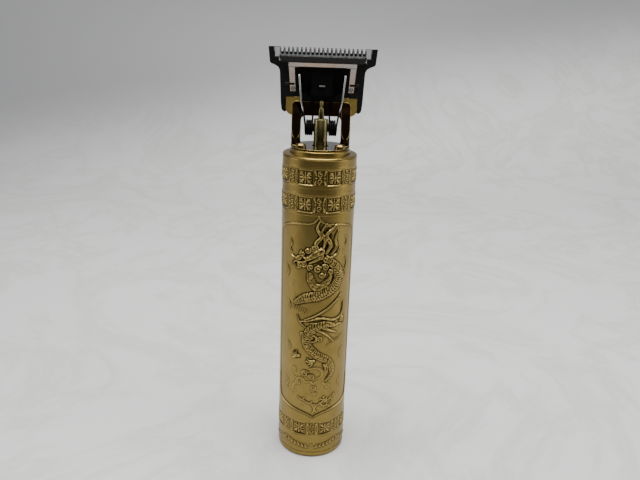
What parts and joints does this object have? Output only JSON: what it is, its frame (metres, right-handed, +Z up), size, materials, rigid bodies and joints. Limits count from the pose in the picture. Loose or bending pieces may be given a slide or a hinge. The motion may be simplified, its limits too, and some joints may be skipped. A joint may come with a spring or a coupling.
{
  "type": "hair clipper",
  "caption": "Cordless hair clipper with a slim round metal body in gold relief, an open gold bracket and a wide T-shaped steel blade driven by a motor, cam and sliding carrier.",
  "frame": {"origin": "centre of the flat underside of the base, where the clipper stands", "axes": "+Z up along the body towards the blade, the front with the drive pin faces -Y, +X to the right seen from the front"},
  "size_m": [0.0398, 0.0303, 0.164],
  "materials": {
    "gold_shell": "satin antique gold plating over relief",
    "gold_bracket": "polished antique gold plating",
    "gold_cam": "turned, polished",
    "blade_steel": "ground stainless steel",
    "plain_steel": "bright zinc plated",
    "gold_screw": "plated, cross recess",
    "dark_steel": "blackened",
    "black_coated": "black coating, satin",
    "black_plastic": "moulded, fine texture",
    "chassis_plastic": "moulded",
    "white_plastic": "moulded",
    "seal_rubber": "moulded",
    "bush_bronze": "sintered bronze",
    "magnet": "sintered ferrite",
    "core_steel": "stacked silicon steel",
    "copper": "enamelled copper wire",
    "cell_wrap": "shrink wrap",
    "lead_red": "insulated lead",
    "lead_black": "insulated lead",
    "board": "solder mask",
    "chip": "moulded epoxy",
    "lens": "clear acrylic",
    "lamp": "clear epoxy"
  },
  "bodies": {
    "body": {"outer_shell": "gold_shell", "base_cap": "gold_shell", "base_screws": "plain_steel", "top_collar": "gold_shell", "top_plate": "gold_bracket", "shaft_seal": "seal_rubber", "head_bracket": "gold_bracket", "bracket_screws": "gold_screw", "blade_frame": "black_coated", "fixed_blade": "blade_steel", "blade_screws": "plain_steel", "torsion_spring": "plain_steel", "spring_pin": "dark_steel", "motor_can": "plain_steel", "motor_top_bush": "bush_bronze", "motor_magnets": "magnet", "motor_end_cap": "white_plastic", "motor_bottom_bush": "bush_bronze", "motor_brushes": "bush_bronze", "motor_terminals": "bush_bronze", "chassis_front": "chassis_plastic", "chassis_rear": "chassis_plastic", "battery_cell": "cell_wrap", "battery_tabs": "plain_steel", "battery_lead_red": "lead_red", "battery_lead_black": "lead_black", "motor_leads": "lead_red", "circuit_board": "board", "board_chips": "chip", "charging_socket": "plain_steel", "switch_body": "plain_steel", "charging_lamp": "lamp", "light_pipe": "lens"},
    "rotor": {"motor_shaft": "plain_steel", "rotor_core": "core_steel", "rotor_windings": "copper", "commutator": "copper", "drive_cam": "gold_cam", "drive_pin": "gold_cam"},
    "cutter": {"moving_blade": "blade_steel", "blade_carrier": "black_plastic", "clamp_bar": "black_plastic", "carrier_rivets": "plain_steel"},
    "power_switch": {"switch_knob": "gold_bracket", "switch_lever": "white_plastic"}
  },
  "joints": [
    {"name": "motor_spin", "type": "hinge", "parent": "body", "child": "rotor", "pos_m": [0, 0, 0.128], "axis": [0, 0, 1], "continuous": true},
    {"name": "blade_slide", "type": "slide", "parent": "body", "child": "cutter", "axis": [1, 0, 0], "range_m": [-0.0008, 0.0008]},
    {"name": "switch_slide", "type": "slide", "parent": "body", "child": "power_switch", "axis": [0, 0, 1], "range_m": [0, 0.003]}
  ]
}
